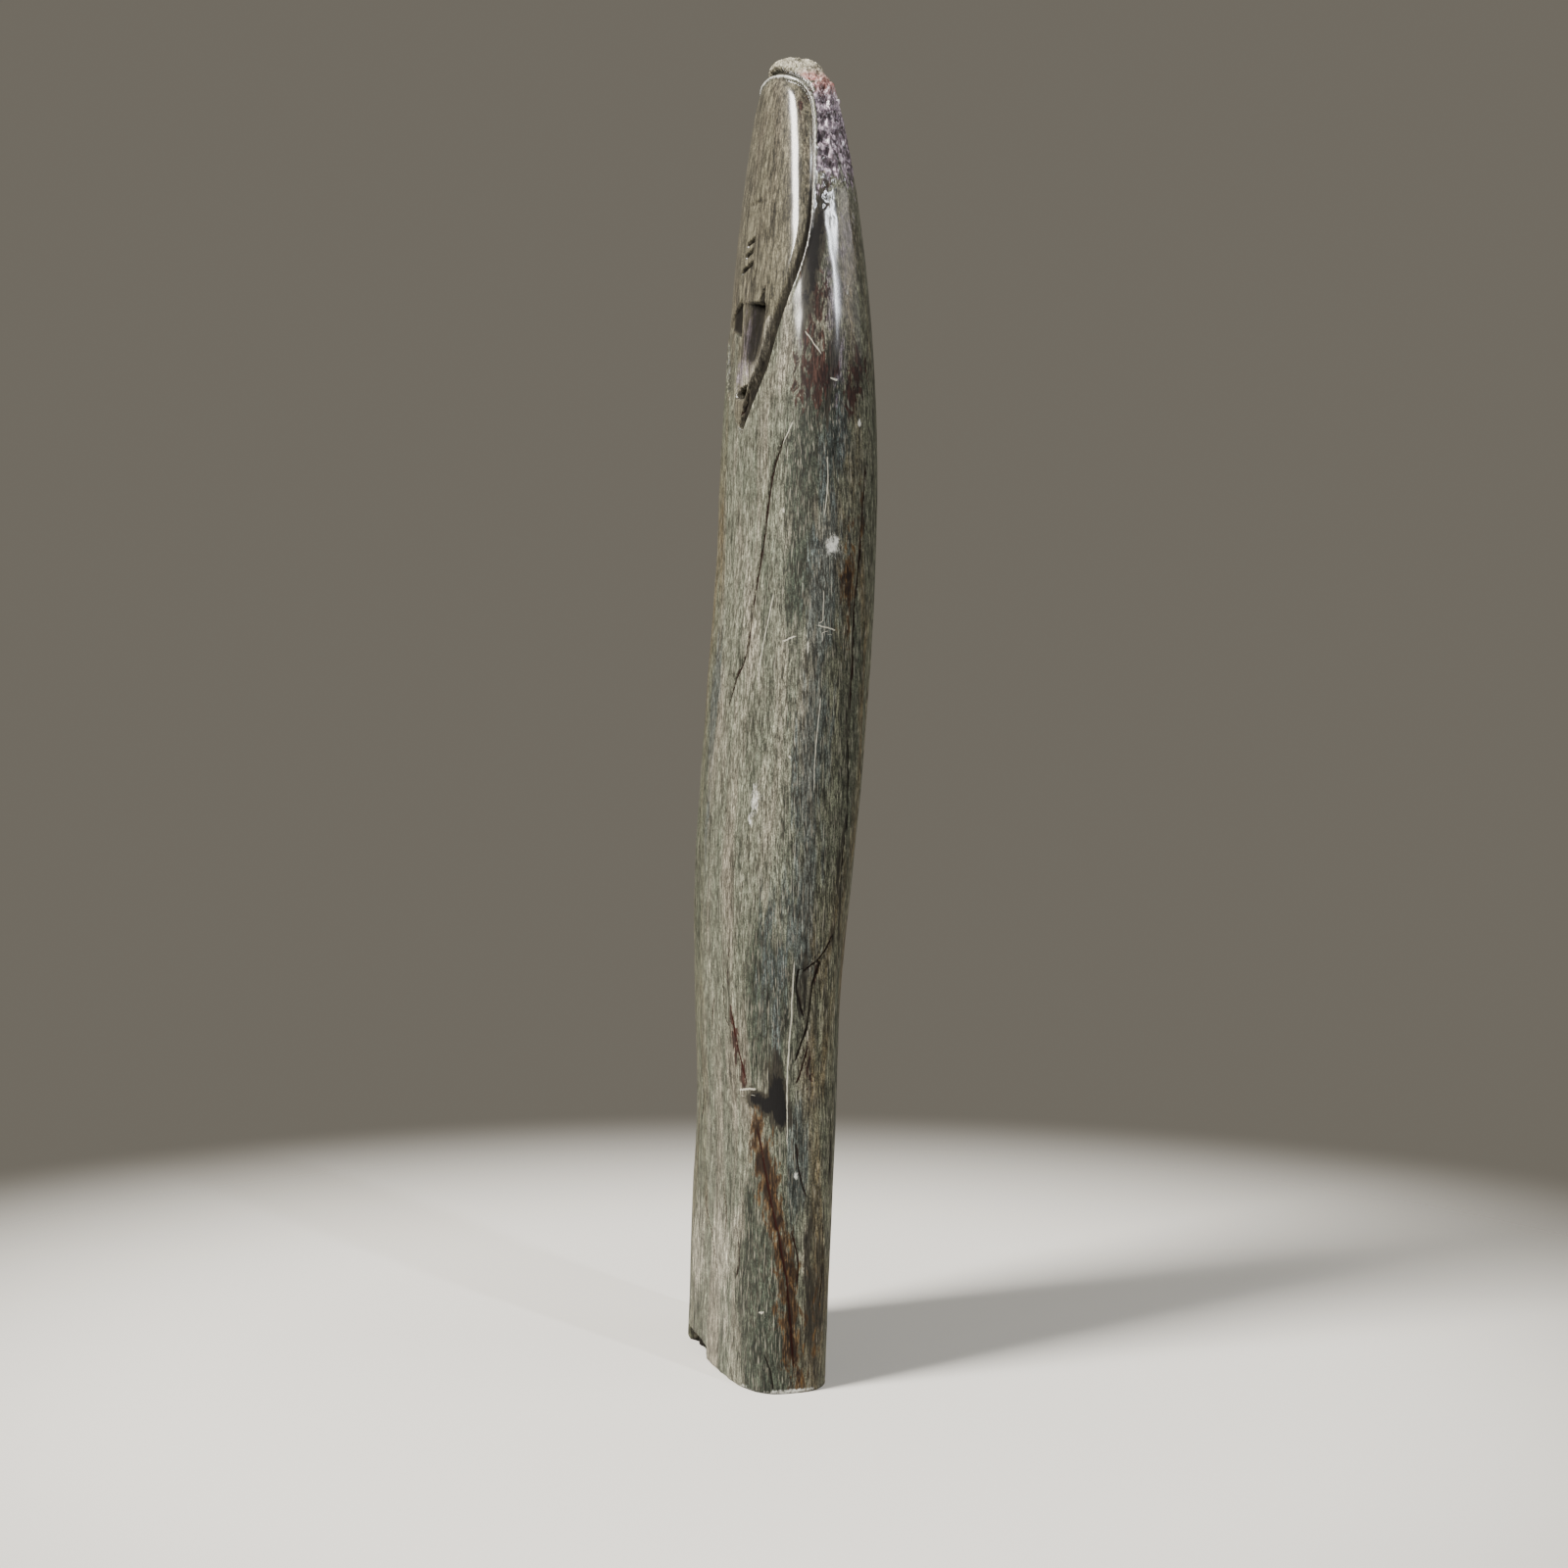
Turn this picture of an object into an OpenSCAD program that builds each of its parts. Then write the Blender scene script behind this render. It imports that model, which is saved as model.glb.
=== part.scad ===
// Tall carved figure, cut from a single piece of stone and standing on its own sawn foot.
// It is a flattened, slightly bowed column that rounds over into a head.  The face is a smooth
// panel on the front (-Y), set off from the body by a groove that runs from the chin up both
// edges and over the crown.  Origin: centre of the foot, on the surface it stands on.

/* [Body] */
// Height from the foot to the top of the crown
height = 327; // [300:1:360]
// Width from side to side, at the widest
width = 67; // [60:1:76]
// Thickness from front to back, at the thickest
thickness = 33.5; // [30:0.5:38]
// How far the upper body stands back behind the foot
lean = 11.8; // [8:0.1:14]
// Squareness of the foot's outline, where 2 is an ellipse
foot_squareness = 3.2; // [2.6:0.1:3.6]
// Squareness of the outline higher up
body_squareness = 2.45; // [2.2:0.05:2.8]

/* [Face] */
// Length of the face from chin to crown
face_length = 90; // [84:1:96]
// Turn of the face's middle towards the +X side, in degrees
face_turn = 6; // [0:1:8]
// Width of the groove at the chin
groove_at_chin = 2.4; // [1.6:0.1:3]
// Width of the groove along the edges of the head
groove_at_edge = 1.1; // [0.8:0.1:1.6]
// Width of the groove under the rough crown
groove_at_crown = 2.2; // [1.6:0.1:3]
// Depth of the groove as a share of its width
groove_depth = 1.1; // [0.6:0.1:1.3]

/* [Cut marks] */
// Height of the square ledge above the chin
ledge_rise = 32; // [28:1:36]
// Width of the gouge below the ledge, where it starts
gouge_width = 15; // [10:1:18]
// Depth of the gouge below the ledge
gouge_depth = 2.2; // [1:0.1:2.8]
// Width of the short slits
slit_width = 0.9; // [0.6:0.1:1.2]
// Depth of the short slits
slit_depth = 1.6; // [1:0.1:2]
// Length of the chip out of the front lower edge of the foot
chip_length = 19; // [10:1:24]
// Height of that chip
chip_height = 4; // [2:0.5:5]

/* [Hidden] */

stone = "#7d7e70";

// Stations of the body from foot to crown:
// [share of the height, share of the half width, share of the half thickness, share of the lean]
stations = [
    [0.000, 0.940, 0.725, 0.00], // foot, sawn flat
    [0.060, 0.950, 0.722, 0.06],
    [0.180, 0.965, 0.750, 0.20], // ankle, thinnest part of the lower half
    [0.270, 0.980, 0.830, 0.24],
    [0.370, 0.995, 0.955, 0.40],
    [0.490, 1.000, 1.000, 0.65], // widest and thickest
    [0.610, 0.990, 0.990, 0.89],
    [0.700, 0.945, 0.975, 0.96], // chin
    [0.795, 0.855, 0.885, 1.00],
    [0.870, 0.730, 0.765, 0.98],
    [0.925, 0.580, 0.650, 0.97],
    [0.965, 0.420, 0.545, 0.96],
    [0.988, 0.240, 0.425, 0.95],
    [0.997, 0.150, 0.330, 0.95], // crown
    [1.000, 0.050, 0.120, 0.95]
];
top = len(stations) - 1;
squaring_height = 0.34 * height; // the foot's squareness has faded out here

// Edge of the face: [share of the face's length above the chin, turn from the middle in degrees]
face_edge = [[0.00, 0], [0.15, 29], [0.36, 52], [0.60, 73], [0.86, 80], [0.96, 64], [1.00, 0]];
face_top = 0.982 * height;
chin = face_top - face_length;
ledge = chin + ledge_rise;

columns = 84;      // facets round the body
body_rows = 3;     // rows of facets between two stations of the lower body
head_rows = 5;     // and between two stations of the head
head_station = 7;
groove_steps = 54; // facets along the groove
eps = 0.01;

// Smooth curve through the points p, at the place u, where u = 2.5 is half-way from p[2] to p[3]
function blend(a, b, c, d, t) =
    0.5 * (2 * b + (c - a) * t + (2 * a - 5 * b + 4 * c - d) * t * t + (3 * b - a - 3 * c + d) * t * t * t);
function curve(p, u) =
    let (last = len(p) - 1, i = max(0, min(floor(u), last - 1)))
    blend(p[max(i - 1, 0)], p[i], p[i + 1], p[min(i + 2, last)], u - i);

// The station whose height is z, found by halving the range
function place(z, low = 0, high = top, n = 24) =
    n == 0 ? (low + high) / 2
    : let (mid = (low + high) / 2)
      curve(stations, mid)[0] * height < z ? place(z, mid, high, n - 1) : place(z, low, mid, n - 1);

// Point on the stone at station u and angle q, where q = -90 is the middle of the front
function power(v, e) = sign(v) * pow(abs(v), e);
function squareness(z) =
    foot_squareness + (body_squareness - foot_squareness) * min(1, z / squaring_height);
function skin(u, q) =
    let (s = curve(stations, u), z = s[0] * height, e = 2 / squareness(z))
    [s[1] * width / 2 * power(cos(q), e), s[3] * lean + s[2] * thickness / 2 * power(sin(q), e), z];
function unit(v) = v / norm(v);
function outward(u, q) = unit(cross(skin(u, q + 1) - skin(u, q - 1), skin(u + 0.02, q) - skin(u - 0.02, q)));

// Row heights of the body's facets, closer together in the head
rows = concat(
    [for (i = [0 : head_station - 1], k = [0 : body_rows - 1]) i + k / body_rows],
    [for (i = [head_station : top - 1], k = [0 : head_rows - 1]) i + k / head_rows],
    [top]
);

// A closed solid through rings of points, each ring with the same number of points
module loft(rings) {
    n = len(rings[0]);
    m = len(rings);
    polyhedron(
        points = [for (ring = rings) each ring],
        faces = concat(
            [[for (i = [0 : n - 1]) i]],
            [for (r = [0 : m - 2], i = [0 : n - 1])
                each let (a = r * n + i, b = r * n + (i + 1) % n) [[a, a + n, b], [b, a + n, b + n]]],
            [[for (i = [n - 1 : -1 : 0]) (m - 1) * n + i]]
        )
    );
}

module column() {
    loft([for (u = rows) [for (i = [0 : columns - 1]) skin(u, i * 360 / columns)]]);
}

// Place on the edge of the face: t runs from -1 over 0 to 1, from the chin up the -X side,
// over the crown, and down the +X side back to the chin
function edge_share(t) = curve(face_edge, (1 - abs(t)) * (len(face_edge) - 1));
function edge_station(t) = place(chin + edge_share(t)[0] * face_length);
function edge_angle(t) =
    -90 + face_turn * (1 - edge_share(t)[0]) + (t < 0 ? -1 : 1) * edge_share(t)[1];
function edge_point(t) = skin(edge_station(t), edge_angle(t));
function groove_width(h) =
    h < 0.5 ? groove_at_chin + (groove_at_edge - groove_at_chin) * h / 0.5
    : h < 0.9 ? groove_at_edge
    : groove_at_edge + (groove_at_crown - groove_at_edge) * (h - 0.9) / 0.1;

// Three-sided ring of the cutter that makes the groove, wide at the skin and narrow at the bottom
function groove_ring(t) =
    let (
        p = edge_point(t),
        out = outward(edge_station(t), edge_angle(t)),
        along = unit(edge_point(t + 0.01) - edge_point(t - 0.01)),
        across = unit(cross(along, out)),
        w = groove_width(edge_share(t)[0])
    )
    [p + across * w / 2 + out, p - across * w / 2 + out, p - out * w * groove_depth];

module groove() {
    ends = 0.01;
    loft([for (k = [0 : groove_steps]) groove_ring(-1 + ends + k * (2 - 2 * ends) / groove_steps)]);
}

// Puts a cutter on the front of the stone at height z and sideways place x, its +Y into the stone
module on_front(x, z) {
    s = curve(stations, place(z));
    reach = pow(1 - pow(abs(x) / (s[1] * width / 2), squareness(z)), 1 / squareness(z));
    translate([x, s[3] * lean - s[2] * thickness / 2 * reach, z]) children();
}

// Short level slits above the ledge: [sideways place of the middle, rise above the ledge, length]
slits = [[2.4, 15, 6], [1.2, 12.2, 6], [0.2, 9, 9]];
module slit(length) {
    translate([-length / 2, -1, -slit_width / 2]) cube([length, slit_depth + 1, slit_width]);
}

// Gouge below the ledge: square at its top, running out to a small round hole above the chin
gouge_x = 6;
gouge_length = 22;
hole_x = 3.7;
hole_radius = 1.2;
module gouge() {
    on_front(gouge_x, ledge) {
        half = gouge_width / 2;
        tip = [hole_x - gouge_x, 0.4, -gouge_length];
        polyhedron(
            points = [
                [-half, gouge_depth, 0], [half, gouge_depth, 0], [half, -3, 0], [-half, -3, 0],
                tip + [-hole_radius, -0.6, 0], tip + [hole_radius, -0.6, 0],
                tip + [hole_radius, -5, 0], tip + [-hole_radius, -5, 0]
            ],
            faces = [
                [0, 1, 2, 3], [7, 6, 5, 4],
                [0, 4, 5], [0, 5, 1], [1, 5, 6], [1, 6, 2], [2, 6, 7], [2, 7, 3], [3, 7, 4], [3, 4, 0]
            ]
        );
    }
    on_front(hole_x, ledge - gouge_length)
        translate([0, -2, 0]) rotate([-90, 0, 0]) cylinder(h = 4, r = hole_radius, $fn = 24);
}

// Chip along the front lower edge of the foot, on the -X side of its middle
chip_depth = 2.5;
module chip() {
    translate([-chip_length - 1, -thickness / 2, -eps])
        cube([chip_length, thickness / 2 * (1 - stations[0][2]) + chip_depth, chip_height]);
}

module carved_figure() {
    color(stone)
    difference() {
        column();
        groove();
        for (s = slits) on_front(s[0], ledge + s[1]) slit(s[2]);
        gouge();
        chip();
    }
}

carved_figure();
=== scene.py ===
import math
from functools import partial

import bpy
import numpy as np
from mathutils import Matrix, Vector


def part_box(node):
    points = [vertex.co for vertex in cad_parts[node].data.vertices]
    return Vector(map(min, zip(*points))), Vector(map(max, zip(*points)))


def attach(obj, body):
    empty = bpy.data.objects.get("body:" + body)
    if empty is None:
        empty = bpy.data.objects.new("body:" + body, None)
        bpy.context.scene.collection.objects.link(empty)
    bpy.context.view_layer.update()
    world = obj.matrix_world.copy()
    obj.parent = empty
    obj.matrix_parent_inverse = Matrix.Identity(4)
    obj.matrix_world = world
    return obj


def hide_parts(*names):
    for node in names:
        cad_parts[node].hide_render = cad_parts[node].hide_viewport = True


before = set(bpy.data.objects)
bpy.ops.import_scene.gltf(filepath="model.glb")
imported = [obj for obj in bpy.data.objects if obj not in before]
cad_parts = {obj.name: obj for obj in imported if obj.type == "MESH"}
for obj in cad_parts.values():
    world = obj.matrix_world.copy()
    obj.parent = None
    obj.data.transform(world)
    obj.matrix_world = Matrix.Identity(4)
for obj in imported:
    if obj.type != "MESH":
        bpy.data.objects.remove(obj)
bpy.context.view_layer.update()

# ==================================================================================================
# Form of the stone
# One upright, slightly bowed piece of fibrous serpentine with its grain running up it. It was split
# from its bed, rasped to a flattened column that rounds over into a head, and sawn flat at the foot.
# Its skin is a net of points laid over stations up its height, finest where the carving is.
# ==================================================================================================
MM = 0.001

low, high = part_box("carved_figure")
HEIGHT = (high[2] - low[2]) / MM
WIDTH = (high[0] - low[0]) / MM
THICKNESS = 33.5  # front to back, where it is widest
LEAN = 11.8  # the upper body stands back by this much behind the foot

# Shares of the height, of the half width, of the half thickness and of the lean, from foot to crown
STATIONS = np.array([
    [0.000, 0.940, 0.725, 0.00],  # foot
    [0.060, 0.950, 0.722, 0.06],
    [0.180, 0.965, 0.750, 0.20],  # ankle
    [0.270, 0.980, 0.830, 0.24],
    [0.370, 0.995, 0.955, 0.40],
    [0.490, 1.000, 1.000, 0.65],  # widest
    [0.610, 0.990, 0.990, 0.89],
    [0.700, 0.945, 0.975, 0.96],  # chin
    [0.795, 0.855, 0.885, 1.00],
    [0.870, 0.730, 0.765, 0.98],
    [0.925, 0.580, 0.650, 0.97],
    [0.965, 0.420, 0.545, 0.96],
    [0.988, 0.240, 0.425, 0.95],
    [0.997, 0.150, 0.330, 0.95],  # crown
    [1.000, 0.050, 0.120, 0.95],
])
FOOT_SQUARENESS = 3.2  # 2 is an ellipse
BODY_SQUARENESS = 2.45
SQUARING_HEIGHT = 0.34 * HEIGHT

# Distance between rows of points at a few heights, in mm
ROW_HEIGHTS = [0, 6, 12, 215, 228, 300, HEIGHT]
ROW_STEPS = [0.22, 0.25, 0.75, 0.75, 0.34, 0.32, 0.30]
COLUMNS = 400
CROWDED_AT = 0.12  # share of the way round, from the middle of the front towards +X


def curve(points, u):
    """Smooth curve through the points. At u = 2.5 it is half-way from points[2] to points[3]."""
    p = np.asarray(points, float)
    u = np.asarray(u, float)
    last = len(p) - 1
    i = np.clip(np.floor(u).astype(int), 0, last - 1)
    t = (u - i)[..., None]
    a, b, c, d = p[np.maximum(i - 1, 0)], p[i], p[i + 1], p[np.minimum(i + 2, last)]
    return 0.5 * (
        2 * b + (c - a) * t + (2 * a - 5 * b + 4 * c - d) * t * t + (3 * b - a - 3 * c + d) * t**3
    )


def skin_net():
    """Rows of points up the stone, their way round it from the middle of the front (+ towards +X),
    and their heights. All in mm."""
    u = np.linspace(0, len(STATIONS) - 1, 9001)
    stations = curve(STATIONS, u) * [HEIGHT, WIDTH / 2, THICKNESS / 2, LEAN]
    travel = np.abs(np.diff(stations[:, :3], axis=0)).max(axis=1)
    steps = travel / np.interp(stations[1:, 0], ROW_HEIGHTS, ROW_STEPS)
    count = np.concatenate([[0], np.cumsum(steps)])
    rows = np.linspace(0, count[-1], int(count[-1]) + 1)
    stations = np.column_stack([np.interp(rows, count, s) for s in stations.T])

    # More of the columns go to the face and the +X edge, where the carving is, than to the back
    share = np.linspace(0, 1, 2001)
    crowding = np.cumsum(1 + 0.5 * np.cos(2 * math.pi * (share - CROWDED_AT)))
    crowding = (crowding - crowding[0]) / (crowding[-1] - crowding[0])
    shares = np.interp(np.arange(COLUMNS) / COLUMNS, crowding, share)

    turn = np.radians(np.linspace(-90, 270, 1441))
    c, s = np.cos(turn), np.sin(turn)
    points, around = [], []
    for z, a, b, y in stations:
        fade = min(1, z / SQUARING_HEIGHT)
        power = 2 / (FOOT_SQUARENESS + (BODY_SQUARENESS - FOOT_SQUARENESS) * fade)
        ring_x = a * np.sign(c) * np.abs(c) ** power
        ring_y = y + b * np.sign(s) * np.abs(s) ** power
        way = np.concatenate([[0], np.cumsum(np.hypot(np.diff(ring_x), np.diff(ring_y)))])
        at = shares * way[-1]
        points.append(np.column_stack([
            np.interp(at, way, ring_x), np.interp(at, way, ring_y), np.full(COLUMNS, z)
        ]))
        around.append(np.where(shares > 0.5, at - way[-1], at))
    return np.array(points), np.array(around)


def outward(net):
    """Unit normals of a net of points that is closed round the stone."""
    round_it = np.roll(net, -1, axis=1) - np.roll(net, 1, axis=1)
    up_it = np.gradient(net, axis=0)
    n = np.cross(round_it, up_it)
    return n / np.maximum(np.linalg.norm(n, axis=2, keepdims=True), 1e-9)


net, around = skin_net()
height = net[..., 2]
normal = outward(net)

# ==================================================================================================
# Carving
# A smooth face inside a groove, with slits, a scoop and chip cuts made by point and gouge. The cracks,
# the crystals and the torn crown are the stone's own, and its foot is worn. All of it is a depth below
# the skin, at places given as (way round from the middle of the front, height), both in mm.
# ==================================================================================================

# Edge of the face on the +X side, from the chin to the middle of the crown
FACE_EDGE = [
    (5, 230.5), (12, 238), (17.5, 245.5), (20.5, 253.5), (23.5, 261.5), (26, 270), (26.7, 279),
    (25.6, 289), (23.6, 299), (20.5, 309.5), (16.5, 315.2), (11, 318.2), (5, 319.8), (0, 320.2),
]
# Along that edge, as shares of its length from chin to crown, in mm: the groove inside the edge and
# the dirt and painted shade that lie in it, the rim outside the edge, and the recess under the crown
ALONG = [0.00, 0.09, 0.17, 0.25, 0.33, 0.48, 0.66, 0.79, 0.86, 0.92, 1.00]
GROOVE_WIDTH = [5.0, 5.2, 5.0, 4.2, 3.4, 3.2, 3.8, 3.8, 3.0, 1.8, 0.8]
GROOVE_DEPTH = [2.2, 2.2, 2.0, 1.5, 1.3, 0.9, 0.7, 0.65, 0.5, 0.3, 0.2]
DIRT_AND_SHADE_WIDTH = [6.4, 6.4, 6.0, 5.0, 3.4, 1.3, 0.45, 0.4, 0.4, 0.4, 0.4]
RIM_RISE = [0.0, 0.10, 0.15, 0.20, 0.20, 0.20, 0.20, 0.25, 0.35, 0.40, 0.4]
RECESS_WIDTH = [0.1, 0.1, 0.1, 0.1, 0.1, 0.1, 0.1, 0.3, 1.4, 2.2, 3.1]
RECESS_DEPTH = [0.0, 0.0, 0.0, 0.0, 0.0, 0.0, 0.0, 0.2, 1.3, 2.0, 2.3]
RIM_WIDTH = 0.9
HEAD_FROM = 222  # nothing on the face lies below this height
FAR = 60.0  # off the face, where the distance to its edge no longer matters


def dense(points, n):
    """A smooth curve through the points, as n points."""
    return curve(points, np.linspace(0, len(points) - 1, n))


def smooth(x, start, end):
    """0 up to start, 1 from end, with a soft rise between them."""
    t = np.clip((np.asarray(x, float) - start) / (end - start), 0, 1)
    return t * t * (3 - 2 * t)


def hump(x, width):
    """1 at zero, falling softly to nothing a little past the width on both sides."""
    return np.exp(-((np.asarray(x, float) / width) ** 2))


def roughness_of(points, size, seed, octaves=3):
    """Soft random field from about -1 to 1 whose lumps are `size` mm across, one number or three."""
    grid = 24  # the field repeats after this many lumps
    total = 0
    for k in range(octaves):
        cells = np.random.default_rng(seed + k).uniform(-1, 1, (grid, grid, grid))
        q = points / np.asarray(size, float) * 2**k + 7.3
        i = np.floor(q).astype(int)
        t = q - i
        t = t * t * (3 - 2 * t)
        value = 0
        for corner in np.ndindex(2, 2, 2):
            at = (i + corner) % grid
            weight = np.prod(np.where(np.array(corner), t, 1 - t), axis=-1)
            value = value + weight * cells[at[..., 0], at[..., 1], at[..., 2]]
        total = total + value * 0.55**k
    return total


def offset_from(line, reach, chosen):
    """For the chosen points of the net: how far each lies from a line on the skin, + on the left
    of its direction, and the share of the line's length where it is nearest. Far ones get reach."""
    place = np.column_stack([around[chosen], height[chosen]])
    step = np.gradient(line, axis=0)
    step /= np.maximum(np.linalg.norm(step, axis=1, keepdims=True), 1e-9)
    length = np.concatenate([[0], np.cumsum(np.linalg.norm(np.diff(line, axis=0), axis=1))])
    off, share = np.full(len(place), float(reach)), np.zeros(len(place))
    inside = np.all((place > line.min(0) - reach) & (place < line.max(0) + reach), axis=1)
    spots = np.flatnonzero(inside)
    for part in np.array_split(spots, max(1, len(spots) // 4000)):
        gap = place[part, None, :] - line[None, :, :]
        k = np.argmin((gap**2).sum(axis=2), axis=1)
        gap = gap[np.arange(len(part)), k]
        side = step[k, 0] * gap[:, 1] - step[k, 1] * gap[:, 0]
        past_end = np.abs((step[k] * gap).sum(axis=1))
        off[part] = np.sign(side) * np.hypot(side, past_end)
        share[part] = length[k] / length[-1]
    return off, share


def face_edges():
    """The whole edge of the face: up the -X side from the chin, over the crown and down again."""
    right = dense(FACE_EDGE, 500)
    rise = (right[:, 1] - right[0, 1]) / (right[-1, 1] - right[0, 1])
    middle = right[0, 0] * (1 - rise) ** 2
    left = np.column_stack([2 * middle - right[:, 0], right[:, 1]])
    return np.vstack([left, right[::-1]])


head = height > HEAD_FROM
edge_off, edge_share = offset_from(face_edges(), FAR, head)
inward = np.full(height.shape, -FAR)  # distance inside the face's edge
inward[head] = -edge_off
climb = np.zeros(height.shape)  # share of the way up that edge, from chin to crown
climb[head] = 1 - np.abs(2 * edge_share - 1)
in_face = smooth(inward, -0.1, 0.3)

along = {
    name: np.interp(climb, ALONG, values)
    for name, values in dict(width=GROOVE_WIDTH, depth=GROOVE_DEPTH, dirt_and_shade=DIRT_AND_SHADE_WIDTH, rim=RIM_RISE,
                             recess_width=RECESS_WIDTH, recess_depth=RECESS_DEPTH).items()
}

# The groove is steep on the body's side and slopes up to the face on the other, more gently
# higher up. On the -X side of the chin it runs out.
into = np.clip(inward / along["width"], 0, 1)
gentle = smooth(climb, 0.30, 0.50)
slope = (1 - gentle) * (1 - into**1.7) + gentle * (1 - into) ** 1.7
runs_out = np.ones(height.shape)
left_end = np.maximum(smooth(climb[head], 0.12, 0.30), 1 - smooth(climb[head], 0.02, 0.04))
runs_out[head] = np.where(edge_share < 0.5, left_end, 1)
groove = runs_out * along["depth"] * slope * smooth(inward, -0.18, 0.06)
rim = along["rim"] * hump(inward + RIM_WIDTH / 2, 0.42)
recess_share = (-inward - RIM_WIDTH) / along["recess_width"]
under_crown = 1 - smooth(recess_share, 0.97, 1.07)
recess = along["recess_depth"] * np.clip(recess_share, 0, 1) ** 0.7 * under_crown * head
depth = groove - rim + recess

# Short level slits, their left and right ends and their heights
SLITS = [((-0.6, 279.1), (5.5, 279.5)), ((-1.4, 276.4), (4.8, 276.8)), ((-4.2, 273.0), (5.3, 273.6))]
SLIT_HALF_WIDTH = 0.58
SLIT_DEPTH = 1.3
slits = np.zeros(height.shape)
for start, end in SLITS:
    t = np.clip((around - start[0]) / (end[0] - start[0]), -0.2, 1.2)
    gap = height - (start[1] + (end[1] - start[1]) * t)
    taper = np.clip(4 * t * (1 - t), 0, 1) ** 0.4
    walls = 1 - smooth(np.abs(gap), 0.5 * SLIT_HALF_WIDTH, 1.3 * SLIT_HALF_WIDTH)
    slits = np.maximum(slits, SLIT_DEPTH * taper * walls)
depth += slits

# Worn scar above the slits, which falls a little to the right
SCAR_AT, SCAR_HEIGHT = 5, 288.6
SCAR_HALF_WIDTH, SCAR_HALF_HEIGHT = 5, 0.7
SCAR_DEPTH = 0.35
off_scar = around - SCAR_AT
scar = hump(height - SCAR_HEIGHT + 0.12 * off_scar, SCAR_HALF_HEIGHT) * hump(off_scar, SCAR_HALF_WIDTH)
depth += SCAR_DEPTH * scar * (1 + roughness_of(net, 1.5, 31))

# Tongue below a square ledge: a long scoop with a rounded bar in it, which narrows down to a
# drilled hole, and with a triangular notch at each upper corner. Its sides are given downwards.
LEDGE = 265.0
LEDGE_LEFT = -1.2  # the ledge has that height here
LEDGE_FALL = 0.22  # and drops to the right by this share
TONGUE_LEFT = [(-2.2, 265), (-2.4, 257), (-3.0, 250), (-2.6, 244), (-0.8, 239.6)]
TONGUE_RIGHT = [(14.6, 265), (15.4, 258), (13.8, 251), (11.0, 246), (8.2, 243), (6.0, 239.6)]
below = LEDGE - LEDGE_FALL * (around - LEDGE_LEFT) - height
left_side = np.interp(-height, [-h for _, h in TONGUE_LEFT], [x for x, _ in TONGUE_LEFT])
right_side = np.interp(-height, [-h for _, h in TONGUE_RIGHT], [x for x, _ in TONGUE_RIGHT])
across = (around - left_side) / (right_side - left_side)
in_tongue = smooth(below, -0.1, 0.35) * (1 - smooth(below, 23.0, 24.8)) * smooth(across, -0.06, 0.10)
in_tongue *= 1 - smooth(across, 0.70, 1.02)
bar = hump(across - 0.22, 0.30)
# The scoop is deepest under the ledge's right end, shallow over the bar, and deeper near the hole
tongue = 0.7 + 1.9 * smooth(across, 0.1, 0.9) * np.exp(-np.clip(below, 0, 30) / 5.0)
tongue += 0.5 * smooth(below, 12, 21)
tongue = tongue * (1.15 - 0.65 * bar) + 0.5 * hump(across - 0.62, 0.14) * (1 - smooth(below, 8, 16))
depth += np.where(head, tongue * in_tongue, 0)
# A bright ridge runs down the tongue's right side
RIDGE_RISE = 0.45
ridge = hump(across - 1.10, 0.09) * smooth(below, 2, 5) * (1 - smooth(below, 19, 23))
depth -= np.where(head, RIDGE_RISE * ridge, 0)


def notch(corner, far, foot, deep):
    """Triangular chip cut: deepest along the side from corner to foot, running out to far."""
    (ax, az), (bx, bz), (cx, cz) = corner, far, foot
    area = (bx - ax) * (cz - az) - (cx - ax) * (bz - az)
    to_far = ((around - ax) * (cz - az) - (cx - ax) * (height - az)) / area
    to_foot = ((bx - ax) * (height - az) - (around - ax) * (bz - az)) / area
    inside = smooth(to_far, -0.02, 0.02) * smooth(to_foot, -0.02, 0.02)
    inside *= 1 - smooth(to_far + to_foot, 0.97, 1.03)
    return deep * inside * np.clip(1 - to_far, 0, 1) * (0.35 + 0.65 * np.clip(to_foot, 0, 1))


notches = notch((-1.6, 266.0), (-13.5, 261.6), (-1.4, 256.4), 3.4)
notches = notches + notch((13.8, 266.0), (9.2, 261.4), (14.2, 258.4), 2.6)
depth += notches

HOLE_AT, HOLE_HEIGHT = 2.7, 241.6
HOLE_HALF_WIDTH, HOLE_HALF_HEIGHT = 4.4, 1.8
HOLE_DEPTH = 2.4
hole_off = np.hypot((around - HOLE_AT) / HOLE_HALF_WIDTH, (height - HOLE_HEIGHT) / HOLE_HALF_HEIGHT)
hole = 1 - smooth(hole_off, 0.75, 1.05)
depth += HOLE_DEPTH * hole

# Rough crown outside the face and crystals on the shoulder, both left unpolished
CROWN_FROM = 318.0
CRUST_AT, CRUST_HALF_WIDTH = 34, 16
outside = 1 - in_face
ragged = roughness_of(net, (5, 5, 4), 11)
crown = (1 - under_crown) * outside * smooth(height + 1.4 * ragged, CROWN_FROM, CROWN_FROM + 2)
shoulder = smooth(-inward, 0.7, 1.0) * smooth(height + 7 * ragged, 279, 305) * (1 - crown)
crusted = np.abs(around - CRUST_AT) - CRUST_HALF_WIDTH + 4 * ragged
crust = shoulder * (1 - smooth(crusted, 0, 5))
facets = np.abs(roughness_of(net, (2.4, 2.4, 2.0), 17, 4))
depth += crown * (0.9 * facets + 0.1)
depth += crust * (1.1 * np.abs(roughness_of(net, (1.8, 1.8, 3.6), 23, 4)) - 0.15)

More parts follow.
